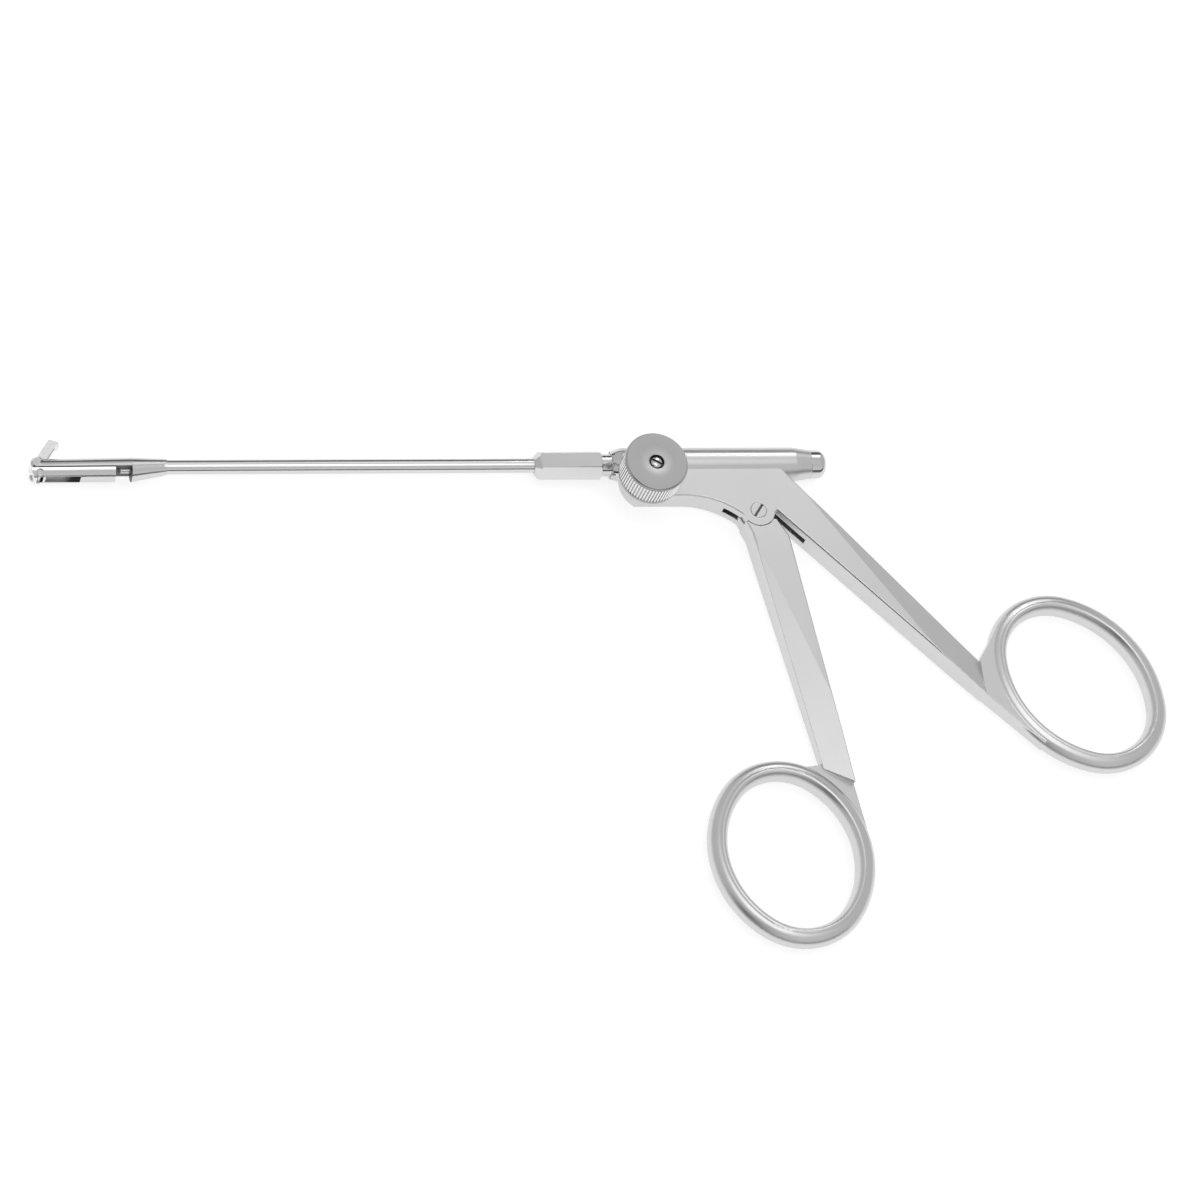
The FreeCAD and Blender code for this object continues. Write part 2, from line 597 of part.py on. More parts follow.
def sheath_tube():
    front, rear = head_rear - TUBE_SOCKET, hex_rear + TUBE_SOCKET
    return rod_x(TUBE_DIAMETER, front, rear).cut(rod_x(TUBE_BORE, front - 1, rear + 1))


def tapered_bar(d0, p0, d1, p1):
    """Round bar from one point to another, with a diameter at each."""
    run = V(*p1) - V(*p0)
    return Part.makeCone(d0 / 2, d1 / 2, run.Length, V(*p0), run)


def head_blank():
    """Outer form of the head in front of the ferrule, a little slimmer at the tip."""
    front_drop = HEAD_DROP + (HEAD_DIAMETER - HEAD_FRONT_DIAMETER) / 2
    bar = tapered_bar(HEAD_FRONT_DIAMETER, (head_tip - 1, -front_drop, 0),
                      HEAD_DIAMETER, (ferrule_front + 1, -HEAD_DROP, 0))
    return bar.common(block(head_tip - 1, ferrule_front, -HEAD_DIAMETER, HEAD_DIAMETER,
                            -HEAD_DIAMETER, HEAD_DIAMETER))


def head_saddle():
    """Fixed upper half of the head, with ears for the jaw and a ferrule brazed on the tube."""
    half_window = WINDOW_WIDTH / 2
    ferrule = tapered_bar(HEAD_DIAMETER + 0.15, (ferrule_front - 0.5, -HEAD_DROP - 0.04, 0),
                          FERRULE_RING_DIAMETER, (head_rear, 0, 0))
    ferrule = ferrule.common(block(ferrule_front, head_rear - FERRULE_RING, -HEAD_DIAMETER,
                                   HEAD_DIAMETER, -HEAD_DIAMETER, HEAD_DIAMETER))
    ring = rod_x(FERRULE_RING_DIAMETER, head_rear - FERRULE_RING, head_rear)
    upper = head_blank().common(block(jaw_axis.x, ferrule_front, -SPLIT_DROP, HEAD_DIAMETER,
                                      -HEAD_DIAMETER, HEAD_DIAMETER))
    ear_half = HEAD_FRONT_DIAMETER / 2 - 0.3
    ear = turned_z([
        (0, -ear_half), (JAW_HUB - EAR_CHAMFER, -ear_half), (JAW_HUB, -ear_half + EAR_CHAMFER),
        (JAW_HUB, ear_half - EAR_CHAMFER), (JAW_HUB - EAR_CHAMFER, ear_half), (0, ear_half),
    ], jaw_axis)
    ear = ear.common(block(head_tip - 1, window_end, -SPLIT_DROP, HEAD_DIAMETER,
                           -HEAD_DIAMETER, HEAD_DIAMETER))
    saddle = upper.fuse([ear, ferrule, ring])

    saddle = saddle.cut(block(head_tip - 2, window_end, -HEAD_DIAMETER, HEAD_DIAMETER,
                              -half_window, half_window))
    saddle = saddle.cut(post(JAW_PIN, -HEAD_DIAMETER, HEAD_DIAMETER, jaw_axis))
    rail_groove = RAIL_DIAMETER + 2 * RAIL_CLEARANCE
    saddle = saddle.cut(rod_x(rail_groove, window_end - 1, head_rear - TUBE_SOCKET, -RAIL_DROP))
    # room for the rod's double bend as it slides out of the ferrule
    saddle = saddle.cut(rod_x(rail_groove, ferrule_front - ROD_CRANK, head_rear - TUBE_SOCKET))
    saddle = saddle.cut(block(ferrule_front - ROD_CRANK, head_rear - TUBE_SOCKET, -RAIL_DROP, 0,
                              -rail_groove / 2, rail_groove / 2))
    saddle = saddle.cut(rod_x(TUBE_DIAMETER, head_rear - TUBE_SOCKET, head_rear + 1))
    return saddle.removeSplitter()


def drive_slider():
    """Moving lower half of the head, pushed by the rod and pinned to the jaw's tail."""
    half_window = WINDOW_WIDTH / 2
    bottom = -HEAD_DROP - HEAD_DIAMETER / 2
    lower = head_blank().common(block(head_tip, slider_rear, bottom - 1, slider_top,
                                      -HEAD_DIAMETER, HEAD_DIAMETER))
    # round nose, cut by a quarter of a hollow
    corner = V(head_tip + SLIDER_NOSE, bottom + SLIDER_NOSE, 0)
    nose = block(head_tip - 1, corner.x, bottom - 1, corner.y, -HEAD_DIAMETER, HEAD_DIAMETER).cut(
        post(2 * SLIDER_NOSE, -HEAD_DIAMETER, HEAD_DIAMETER, corner))
    lower = lower.cut(nose)
    rail = rod_x(RAIL_DIAMETER, window_end + 0.5, slider_rear + RAIL_STUB, -RAIL_DROP)
    slider = lower.fuse(rail)
    window = slab([
        (head_tip - 1, slider_top + 1), (slider_window_end + WINDOW_RAKE, slider_top + 1),
        (slider_window_end + WINDOW_RAKE, slider_top), (slider_window_end, bottom - 0.1),
        (slider_window_end, bottom - 1), (head_tip - 1, bottom - 1),
    ], 2 * half_window)
    slider = slider.cut(window)
    pin_half = HEAD_FRONT_DIAMETER / 2 - 0.3
    slider = slider.cut(post(DRIVE_PIN, -pin_half - 1, pin_half + 1, drive_axis))
    for side in (-1, 1):
        z0, z1 = sorted((side * (pin_half - PIN_HEAD_HEIGHT), side * (pin_half + 1)))
        slider = slider.cut(post(DRIVE_PIN_HEAD, z0, z1, drive_axis))
    slider = slider.cut(rod_x(ROD_DIAMETER, slider_rear - RAIL_STUB, slider_rear + RAIL_STUB + 1,
                              -RAIL_DROP))
    return slider.removeSplitter()


def slider_pin():
    """Riveted pin between the slider's cheeks and the fork of the jaw's tail."""
    pin_half = HEAD_FRONT_DIAMETER / 2 - 0.3
    neck = pin_half - PIN_HEAD_HEIGHT
    return turned_z([
        (0, -pin_half), (DRIVE_PIN_HEAD / 2, -pin_half), (DRIVE_PIN_HEAD / 2, -neck),
        (DRIVE_PIN / 2, -neck), (DRIVE_PIN / 2, neck), (DRIVE_PIN_HEAD / 2, neck),
        (DRIVE_PIN_HEAD / 2, pin_half), (0, pin_half),
    ], drive_axis)


def jaw_pin():
    half = HEAD_FRONT_DIAMETER / 2 - 0.3
    return post(JAW_PIN, -half, half, jaw_axis)


def cutting_jaw():
    """Hooked cutting jaw: a hollowed arm above its hub and a forked tail below it."""
    def arm(u, w):
        """Point of the arm: u along it, w towards its back."""
        p = jaw_axis + direction(JAW_LEAN) * u + direction(JAW_LEAN + 90) * w
        return (p.x, p.y)

    hub = post(2 * JAW_HUB, -JAW_WIDTH / 2, JAW_WIDTH / 2, jaw_axis)
    blade = slab([
        arm(0, JAW_BACK), arm(JAW_LENGTH - 0.42, JAW_BACK), arm(JAW_LENGTH, -JAW_BITE),
        arm(JAW_LENGTH - 0.45, -JAW_BITE - JAW_HOOK), arm(JAW_LENGTH - 0.85, -JAW_BITE),
        arm(0, -JAW_BITE),
    ], JAW_WIDTH)
    # cup ground into the biting side, with a slot through to the back
    cup_width = JAW_WIDTH - 2 * JAW_RAIL
    cup = slab([
        arm(JAW_HUB + 0.55, -JAW_BITE + JAW_CUP_DEPTH), arm(JAW_LENGTH - 0.95, -JAW_BITE + JAW_CUP_DEPTH),
        arm(JAW_LENGTH - 0.75, -JAW_BITE - JAW_HOOK), arm(JAW_HUB + 0.35, -JAW_BITE - JAW_HOOK),
    ], cup_width)
    eye = slab([
        arm(JAW_HUB + 1.0, JAW_BACK + 1), arm(JAW_LENGTH - 1.3, JAW_BACK + 1),
        arm(JAW_LENGTH - 1.3, -JAW_BITE), arm(JAW_HUB + 1.0, -JAW_BITE),
    ], cup_width - 0.3)
    blade = blade.cut(cup).cut(eye)

    to_pin = drive_axis - jaw_axis
    tail_angle = math.degrees(math.atan2(to_pin.y, to_pin.x))
    tail = block(0, JAW_TAIL, -JAW_HUB + 0.12, JAW_HUB - 0.12, -JAW_WIDTH / 2, JAW_WIDTH / 2)
    tail = tail.cut(block(to_pin.Length - 0.75, JAW_TAIL + 1, -TAIL_SLOT / 2, TAIL_SLOT / 2,
                          -JAW_WIDTH, JAW_WIDTH))
    tail.rotate(V(0, 0, 0), V(0, 0, 1), tail_angle)
    tail.translate(jaw_axis)
    tail = tail.common(post(2 * JAW_TAIL, -JAW_WIDTH, JAW_WIDTH, jaw_axis))
    jaw = hub.fuse([blade, tail])
    return jaw.cut(post(JAW_PIN + 2 * RUN, -JAW_WIDTH, JAW_WIDTH, jaw_axis)).removeSplitter()


def drive_rod():
    """Spring steel rod, straight in the tube and cranked down to the slider in the ferrule."""
    bend_front, bend_rear = ferrule_front, ferrule_front + ROD_CRANK
    half_drop, half_run = RAIL_DROP / 2, ROD_CRANK / 2
    middle = V((bend_front + bend_rear) / 2, -half_drop, 0)
    radius = (half_run ** 2 + half_drop ** 2) / (2 * half_drop)
    swing = math.atan2(half_run, radius - half_drop) / 2

    def on_arc(x, y, sign, angle):
        return V(x + radius * math.sin(angle), y + sign * radius * (1 - math.cos(angle)), 0)

    start, end = V(slider_rear - RAIL_STUB, -RAIL_DROP, 0), V(spool_rear + NUT_THICKNESS, 0, 0)
    a, b = V(bend_front, -RAIL_DROP, 0), V(bend_rear, 0, 0)
    edges = [
        Part.makeLine(start, a),
        Part.Arc(a, on_arc(a.x, a.y, 1, swing), middle).toShape(),
        Part.Arc(middle, on_arc(b.x, b.y, -1, -swing), b).toShape(),
        Part.makeLine(b, end),
    ]
    section = Part.Wire([Part.makeCircle(ROD_DIAMETER / 2, start, V(1, 0, 0))])
    return Part.Wire(edges).makePipeShell([section], True, False)


def rod_spool():
    """Grooved spool on the rod, free to turn with the sheath while the tongue pushes it."""
    flange, core, half = SPOOL_DIAMETER / 2, SPOOL_CORE / 2, spool_half_groove
    spool = turned_x([
        (-spool_rear, 0), (-spool_rear, flange - 0.3), (-spool_rear + 0.3, flange), (-half, flange),
        (-half, core), (half, core), (half, flange), (spool_rear - 0.3, flange),
        (spool_rear, flange - 0.3), (spool_rear, 0),
    ])
    return spool.cut(rod_x(ROD_DIAMETER, -spool_rear - 1, spool_rear + 1))


def spool_nut():
    """Small hexagon nut that locks the spool on the rod's thread."""
    radius = NUT_WIDTH / math.sqrt(3)
    corners = [V(spool_rear, radius * math.cos(math.radians(60 * k)),
                 radius * math.sin(math.radians(60 * k))) for k in range(6)]
    nut = Part.Face(Part.makePolygon(corners + corners[:1])).extrude(V(NUT_THICKNESS, 0, 0))
    return nut.cut(rod_x(ROD_DIAMETER, spool_rear - 1, spool_rear + NUT_THICKNESS + 1))


for piece in (handle_frame, nose_nut, thrust_washer, end_cap, cap_seal, pivot_screw, fixing_stem,
              fixing_knob, knob_screw, finger_lever, sheath_stem, hex_grip, sheath_tube, head_saddle,
              jaw_pin, cutting_jaw, drive_slider, slider_pin, drive_rod, rod_spool, spool_nut):
    pieces[piece.__name__] = piece()

# The origin goes under the middle of the whole instrument, on the surface that it lies on
box = Part.makeCompound(list(pieces.values())).optimalBoundingBox(False, False)
shift = V(-box.Center.x, -box.Center.y, -box.ZMin)
os.makedirs("parts", exist_ok=True)
for name, shape in pieces.items():
    shape.translate(shift)
    shape.exportStep("parts/" + name + ".step")
    print(name, "solids", len(shape.Solids), "valid", shape.isValid(), "volume", round(shape.Volume, 2))
print("shift", [round(c, 4) for c in shift])
print("size", round(box.XLength, 2), round(box.YLength, 2), round(box.ZLength, 2))
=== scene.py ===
# %% [markdown]
# # Backbiter forceps, dressed for a studio photograph
# A backbiter is a slim steel punch: ring handles, a housing with a knurled knob, a long thin sheath
# and a hooked jaw that bites backwards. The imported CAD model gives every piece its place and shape.
# This lesson gives the steel its finishes, builds the knob's knurling, and sets floor, light and camera.

# %% Load the frame
import math

import bmesh
import bpy
from mathutils import Matrix, Vector


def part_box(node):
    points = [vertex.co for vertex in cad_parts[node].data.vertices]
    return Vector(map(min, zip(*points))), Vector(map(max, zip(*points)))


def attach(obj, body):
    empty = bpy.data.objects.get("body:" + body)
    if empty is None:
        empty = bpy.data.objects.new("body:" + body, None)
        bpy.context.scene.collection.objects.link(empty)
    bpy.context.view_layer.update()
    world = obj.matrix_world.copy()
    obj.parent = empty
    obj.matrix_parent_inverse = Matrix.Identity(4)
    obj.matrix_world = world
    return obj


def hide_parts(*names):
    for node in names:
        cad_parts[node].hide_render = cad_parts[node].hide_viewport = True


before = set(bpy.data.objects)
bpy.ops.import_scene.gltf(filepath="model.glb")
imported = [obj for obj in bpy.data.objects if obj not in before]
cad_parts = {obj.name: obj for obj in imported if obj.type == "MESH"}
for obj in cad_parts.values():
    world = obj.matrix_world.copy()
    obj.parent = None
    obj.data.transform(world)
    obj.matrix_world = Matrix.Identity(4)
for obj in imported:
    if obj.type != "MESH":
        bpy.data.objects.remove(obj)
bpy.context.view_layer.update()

MM = 0.001

# %% [markdown]
# ## Colours and nodes
# Colours are written as they look on a screen, as hex values. Blender mixes light in linear values,
# so one function turns the first into the second. A second small function adds a shader node with
# its settings and its links, so that each recipe below reads from top to bottom.

# %% Two helpers for every material
def linear(hex_colour):
    channels = [int(hex_colour[i:i + 2], 16) / 255 for i in (1, 3, 5)]
    return [c / 12.92 if c <= 0.04045 else ((c + 0.055) / 1.055) ** 2.4 for c in channels] + [1.0]


def add(tree, kind, inputs=None, **settings):
    """Adds one node. An input is either a value or the output socket that feeds it."""
    node = tree.nodes.new(kind)
    for name, value in settings.items():
        setattr(node, name, value)
    for name, value in (inputs or {}).items():
        socket = node.inputs[name]
        if isinstance(value, bpy.types.NodeSocket):
            tree.links.new(value, socket)
        else:
            socket.default_value = value
    return node


def new_material(name):
    material = bpy.data.materials.new(name)
    material.use_nodes = True
    material.node_tree.nodes.clear()
    return material, material.node_tree


print("pale steel in linear values:", [round(c, 3) for c in linear("#C9C9C9")[:3]])

# %% [markdown]
# ## Steel, many times over
# Surgical instruments are made of stainless steel, and only its finish changes from piece to piece.
# The forged handles are matted with fine beads and then lightly brushed. The sheath is drawn and
# brushed along its length, the knob is turned, the neck and cap are mirror-polished, and the jaw is
# hardened and ground. All of them are the same plain grey metal, a shade lighter or darker. What
# differs most is the roughness and the bump of the tool marks. Real tool marks are a few hundredths
# of a millimetre apart, too fine for this picture, so they are drawn a few tenths apart and very
# shallow. A Bevel node rounds the normals at the edges, as tumbling rounds the real ones, which gives
# each edge its thin bright or dark line.

# %% Fine marks as a height
def stretched_noise(tree, across_mm, along_mm, axis, detail=3.0):
    """Noise whose marks are long in one direction, sized in millimetres."""
    place = add(tree, "ShaderNodeTexCoord")
    sizes = [1 / (across_mm * MM)] * 3
    sizes[axis] = 1 / (along_mm * MM)
    mapping = add(tree, "ShaderNodeMapping", {"Vector": place.outputs["Object"], "Scale": sizes})
    return add(tree, "ShaderNodeTexNoise", {
        "Vector": mapping.outputs["Vector"], "Scale": 1.0, "Detail": detail, "Roughness": 0.55})


def roughness_around(tree, centre, spread, patch_mm):
    """Roughness that wanders a little from patch to patch, as handling and polishing leave it."""
    patches = stretched_noise(tree, patch_mm, patch_mm, 0, detail=4.0)
    return add(tree, "ShaderNodeMapRange", {
        "Value": patches.outputs["Fac"], "From Min": 0.3, "From Max": 0.7,
        "To Min": centre - spread, "To Max": centre + spread})


print("marks are sized in millimetres, so 0.3 mm across is a scale of", round(1 / (0.3 * MM)))

# %% [markdown]
# The metal shader itself is the same for every finish, so one function builds it. It takes the
# roughness, the height of the tool marks and the radius of the broken edges.

# %% One steel shader
EDGE_POLISH = 0.4
DULL_SHARE = 0.93
PATCH_MM, TONE_MM = 9.0, 14.0


def steel(name, colour, roughness, wander, marks, depth_mm, edge_mm):
    """marks is (across mm, along mm, axis) for the tool marks."""
    material, tree = new_material(name)
    height = stretched_noise(tree, *marks)
    edge = add(tree, "ShaderNodeBevel", {"Radius": edge_mm * MM}, samples=6)
    bump = add(tree, "ShaderNodeBump", {
        "Strength": 1.0, "Distance": depth_mm * MM, "Height": height.outputs["Fac"],
        "Normal": edge.outputs["Normal"]})
    rough = roughness_around(tree, roughness, wander, PATCH_MM)
    # handling and the wheel polish an edge more than the flats beside it
    flat = add(tree, "ShaderNodeNewGeometry")
    turned = add(tree, "ShaderNodeVectorMath", {
        0: flat.outputs["Normal"], 1: edge.outputs["Normal"]}, operation="DOT_PRODUCT")
    polish = add(tree, "ShaderNodeMapRange", {
        "Value": turned.outputs["Value"], "From Min": 0.96, "From Max": 0.998,
        "To Min": EDGE_POLISH, "To Max": 1.0})
    roughness_here = add(tree, "ShaderNodeMath", {
        0: rough.outputs["Result"], 1: polish.outputs["Result"]}, operation="MULTIPLY")
    tone = stretched_noise(tree, TONE_MM, TONE_MM, 0, detail=2.0)
    duller = [c * DULL_SHARE for c in linear(colour)[:3]] + [1.0]
    # sockets 6 and 7 are the two colours that a Mix node blends
    mix = add(tree, "ShaderNodeMix", {0: tone.outputs["Fac"], 6: linear(colour), 7: duller},
              data_type="RGBA")
    surface = add(tree, "ShaderNodeBsdfPrincipled", {
        "Base Color": mix.outputs[2], "Metallic": 1.0, "Roughness": roughness_here.outputs["Value"],
        "Normal": bump.outputs["Normal"]})
    add(tree, "ShaderNodeOutputMaterial", {"Surface": surface.outputs["BSDF"]})
    return material


# the shared inputs are colour, roughness, its wander, marks, depth of marks and radius of edges
# bead-matted forging: an even soft grey with no mirror image in it
satin_forged_steel = steel("satin_forged_steel", "#D9D9D9", 0.33, 0.03, (0.22, 0.22, 0), 0.0012, 0.20)
# drawn and brushed tube: sharp long streaks along its length
drawn_steel = steel("drawn_steel", "#DADADA", 0.13, 0.02, (0.12, 6.0, 0), 0.0006, 0.08)
# milled flats: each facet a clean tone of its own
milled_hexagon_steel = steel("milled_hexagon_steel", "#D8D8D8", 0.15, 0.03, (0.12, 6.0, 0), 0.0008, 0.05)
# ground head: bright bands between dark lines
ground_head_steel = steel("ground_head_steel", "#D8D8D8", 0.19, 0.02, (0.16, 3.0, 0), 0.0008, 0.08)
# buffed neck, cap and screws: small hard highlights
mirror_steel = steel("mirror_steel", "#D6D6D6", 0.10, 0.02, (0.9, 0.9, 0), 0.0006, 0.12)
# hardened jaw, dressed by hand: pale and faintly uneven
hardened_jaw_steel = steel("hardened_jaw_steel", "#F0F0F0", 0.26, 0.05, (0.50, 0.50, 0), 0.045, 0.10)
# rolled knurling: bright crests
knurled_steel = steel("knurled_steel", "#EEEEEE", 0.24, 0.04, (0.15, 0.15, 0), 0.0015, 0.03)
# turned rod, spool and nut: fine rings across their length
bright_turned_steel = steel("bright_turned_steel", "#CBCBCB", 0.20, 0.03, (4.0, 0.14, 0), 0.0010, 0.06)
# left from the cutter: dull, and darker in colour as painted shade for the shade that falls in slots, gaps
# and grooves
dull_steel_painted_shade = steel("dull_steel_painted_shade", "#6C6C6C", 0.50, 0.05, (0.15, 0.15, 0), 0.004, 0.02)
# turned bronze washer: warm and soft
bearing_bronze = steel("bearing_bronze", "#C79A5B", 0.30, 0.05, (0.3, 0.3, 0), 0.001, 0.05)
print("steel finishes:", [m.name for m in bpy.data.materials if "steel" in m.name])

# %% [markdown]
# ## The black seal
# The end cap sits on a small ring of black silicone rubber, which looks soft and matt. It is hidden
# here, but a good part is finished all through. Its real grain is finer than the one drawn.

# %% Silicone rubber
silicone_rubber, tree = new_material("silicone_rubber")
grain = stretched_noise(tree, 0.3, 0.3, 0)
grain_bump = add(tree, "ShaderNodeBump", {"Distance": 0.01 * MM, "Height": grain.outputs["Fac"]})
rubber = add(tree, "ShaderNodeBsdfPrincipled", {
    "Base Color": linear("#1C1C1D"), "Roughness": 0.55, "Normal": grain_bump.outputs["Normal"]})
add(tree, "ShaderNodeOutputMaterial", {"Surface": rubber.outputs["BSDF"]})
print("made", silicone_rubber.name)

# %% [markdown]
# ## Smooth where it is round, crisp where it is flat
# The CAD pieces come as loose flat triangles. On matt plastic nobody would notice, but metal shows
# every one of them. Each piece is copied, its doubled points are merged, and the triangles of each
# flat are joined into one face. Which edges are real? The triangles never stray more than a few
# hundredths of a millimetre from the true surface. So a narrow strip that turns a little belongs to
# something round, and a wide face that turns just as much must end at a real edge.

# %% Tell real edges from facets
STEEP = math.radians(34)
STRAY = 0.045 * MM


def reach(face, edge):
    """How far a face reaches from the line of one of its edges."""
    start = edge.verts[0].co
    along = (edge.verts[1].co - start).normalized()
    return max(((v.co - start) - along * (v.co - start).dot(along)).length for v in face.verts)


def is_real(edge):
    if len(edge.link_faces) != 2:
        return True
    turn = edge.calc_face_angle(0.0)
    if turn < math.radians(0.5):
        return False
    width = sum(reach(face, edge) for face in edge.link_faces) / 2
    return turn > STEEP or width * turn / 8 > STRAY


print("a 3 mm tube's strip strays", round(0.5 * math.radians(9.5) / 8, 3), "mm, a ground facet's edge",
      round(5 * math.radians(11) / 8, 3), "mm")

# %% Dress a CAD piece
LONG_EDGE = 8 * MM


def dressed(node, name, body, material, dull_shaded_faces=None, rounded_mm=0):
    """The face test of (place, normal), if given, says which faces were never polished and take the dark
    steel of painted shade; rounded_mm rounds long edges.
    """
    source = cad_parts[node]
    mesh = source.data.copy()
    mesh.name = name
    work = bmesh.new()
    work.from_mesh(mesh)
    bmesh.ops.remove_doubles(work, verts=work.verts, dist=1e-7)
    bmesh.ops.dissolve_limit(work, angle_limit=math.radians(0.3), verts=work.verts, edges=work.edges)
    strips = set()
    if rounded_mm:
        long_edges = [e for e in work.edges if is_real(e) and e.calc_length() > LONG_EDGE]
        rounding = bmesh.ops.bevel(work, geom=long_edges, offset=rounded_mm * MM, offset_type="OFFSET",
                                   segments=4, profile=0.5, affect="EDGES", clamp_overlap=True)
        strips = set(rounding["faces"])
    for edge in work.edges:
        in_strips = sum(face in strips for face in edge.link_faces)
        edge.smooth = in_strips == 2 if in_strips else not is_real(edge)
    for face in work.faces:
        face.smooth = True
    work.to_mesh(mesh)
    work.free()
    for layer in list(mesh.attributes):
        if layer.name == "custom_normal":
            mesh.attributes.remove(layer)
    mesh.materials.clear()
    mesh.materials.append(material)
    if dull_shaded_faces:
        # faces that pass the test get the dark steel: painted shade in slots, gaps and grooves
        mesh.materials.append(dull_steel_painted_shade)
        for polygon in mesh.polygons:
            polygon.material_index = int(dull_shaded_faces(polygon.center, polygon.normal))
    piece = bpy.data.objects.new(name, mesh)
    bpy.context.scene.collection.objects.link(piece)
    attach(piece, body)
    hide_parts(node)
    return piece


# %% [markdown]
# ## Where the polishing wheel can't reach, and shade is painted
# The wheel brightens what it touches. Screw slots and the faces between the two halves of the head
# stay as the cutter left them, dull. Their steel is also darker in colour, which is painted shade: the
# shade in these slots and gaps draws many of the object's fine dark lines, so each gets a small test for
# its faces.

# %% A test for the slot of a screw
SLOT_REACH = 0.85
HEAD_TOP_SKIN = 0.05 * MM


def driver_slot(node):
    """The floor and walls of the slot across a screw's head."""
    low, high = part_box(node)
    axis, radius = (low + high) / 2, (high.x - low.x) / 2

    def test(place, normal):
        off_axis = math.hypot(place.x - axis.x, place.y - axis.y)
        inside = off_axis < SLOT_REACH * radius and place.z < high.z - HEAD_TOP_SKIN
        return inside and (normal.z > 0.99 or abs(normal.z) < 0.1)
    return test


print("a slot reaches", SLOT_REACH, "of a screw's radius")

# %% [markdown]
# The head is round outside. Whatever faces its inside lies well within its radius, between the jaw's
# hub in front and the ferrule on the tube behind, so a distance from its axis tells the two apart.

# %% A test for the inside of the head
saddle_low, saddle_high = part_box("head_saddle")
slider_low, slider_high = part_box("drive_slider")
HEAD_RADIUS = (saddle_high.z - saddle_low.z) / 2
head_axis_y = slider_low.y + HEAD_RADIUS
head_axis_z = (saddle_low.z + saddle_high.z) / 2
FERRULE_LENGTH, HUB_LENGTH = 6.0 * MM, 2.4 * MM
INSIDE_SHARE = 0.82
ferrule_front = saddle_high.x - FERRULE_LENGTH
hub_rear = saddle_low.x + HUB_LENGTH


def head_inside(place, normal):
    """Split faces, window walls and rod groove of the two halves of the head."""
    off_axis = math.hypot(place.y - head_axis_y, place.z - head_axis_z)
    return hub_rear < place.x < ferrule_front and off_axis < INSIDE_SHARE * HEAD_RADIUS


print("head radius", round(HEAD_RADIUS / MM, 2), "axis y", round(head_axis_y / MM, 2))

# %% [markdown]
# ## The pieces and their finishes
# One line for each piece: what it is in the CAD, what it is called here, what it rides on, how it
# was finished, which of its faces stayed dull and take painted shade, and how much its long edges are
# rounded.

# %% Dress them all
HEXAGON_EDGE_MM = 0.26
PIECES = (
    ("handle_frame", "forged_frame", "frame", satin_forged_steel),
    ("finger_lever", "forged_lever", "lever", satin_forged_steel),
    ("pivot_screw", "slotted_pivot_screw", "frame", satin_forged_steel, driver_slot("pivot_screw")),
    ("end_cap", "polished_end_cap", "frame", mirror_steel),
    ("nose_nut", "polished_nose_nut", "frame", mirror_steel),
    ("sheath_stem", "polished_sheath_neck", "sheath", mirror_steel),
    ("hex_grip", "brushed_hexagon", "sheath", milled_hexagon_steel, None, HEXAGON_EDGE_MM),
    ("sheath_tube", "drawn_tube", "sheath", drawn_steel),
    ("head_saddle", "ground_saddle", "sheath", ground_head_steel, head_inside),
    ("jaw_pin", "polished_jaw_pin", "sheath", mirror_steel),
    ("drive_slider", "ground_slider", "rod", ground_head_steel, head_inside),
    ("slider_pin", "polished_slider_pin", "rod", mirror_steel),
    ("drive_rod", "bright_rod", "rod", bright_turned_steel),
    ("rod_spool", "bright_spool", "rod", bright_turned_steel),
    ("spool_nut", "bright_spool_nut", "rod", bright_turned_steel),
    ("cutting_jaw", "hardened_jaw", "jaw", hardened_jaw_steel),
    ("fixing_stem", "bright_fixing_stem", "knob", bright_turned_steel),
    ("knob_screw", "polished_knob_screw", "knob", mirror_steel, driver_slot("knob_screw")),
    ("thrust_washer", "bronze_washer", "frame", bearing_bronze),
    ("cap_seal", "rubber_cap_seal", "frame", silicone_rubber),
)
for node, name, body, *finish in PIECES:
    piece = dressed(node, name, body, *finish)
    print(f"{name}: {len(piece.data.polygons)} faces on {body}")

# %% [markdown]
# ## The knob
# The knob is turned from bar: a plain lower band, a knurled band, a narrow groove under the face, and
# a sunk seat for its screw. A turned piece is a profile spun round its axis, so its outline is written
# as radius and height, and spun in code. The face is left with the fine circles of the turning tool,
# so its marks are rings round its own axis.

# %% Where the knob is, from the CAD
low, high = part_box("fixing_knob")
knob_axis = (low + high) / 2
knob_base, knob_top = low.z, high.z
knob_radius = (high.x - low.x) / 2
print("knob axis", [round(c / MM, 2) for c in knob_axis[:2]], "radius", round(knob_radius / MM, 2))

# %% [markdown]
# The face of the knob is matt from handling, with rings round its own axis. Its colour is lighter round
# its sunk screw, a painted highlight. Real turning marks are about 0.05 mm apart, so these are drawn
# coarser.

# %% Turned steel, with rings round the knob's axis
turned_knob_steel, tree = new_material("turned_knob_steel")
place = add(tree, "ShaderNodeTexCoord")
centred = add(tree, "ShaderNodeMapping", {
    "Vector": place.outputs["Object"], "Location": (-knob_axis.x, -knob_axis.y, 0)})
flattened = add(tree, "ShaderNodeVectorMath", {0: centred.outputs["Vector"], 1: (1, 1, 0)},
                operation="MULTIPLY")
out_from_axis = add(tree, "ShaderNodeVectorMath", {0: flattened.outputs["Vector"]}, operation="LENGTH")
TOOL_MARK_MM = 0.28
rings = add(tree, "ShaderNodeTexNoise", {
    "W": out_from_axis.outputs["Value"], "Scale": 1 / (TOOL_MARK_MM * MM), "Detail": 3.0,
    "Roughness": 0.6}, noise_dimensions="1D")
knob_edge = add(tree, "ShaderNodeBevel", {"Radius": 0.08 * MM}, samples=6)
ring_bump = add(tree, "ShaderNodeBump", {
    "Distance": 0.0004 * MM, "Height": rings.outputs["Fac"], "Normal": knob_edge.outputs["Normal"]})
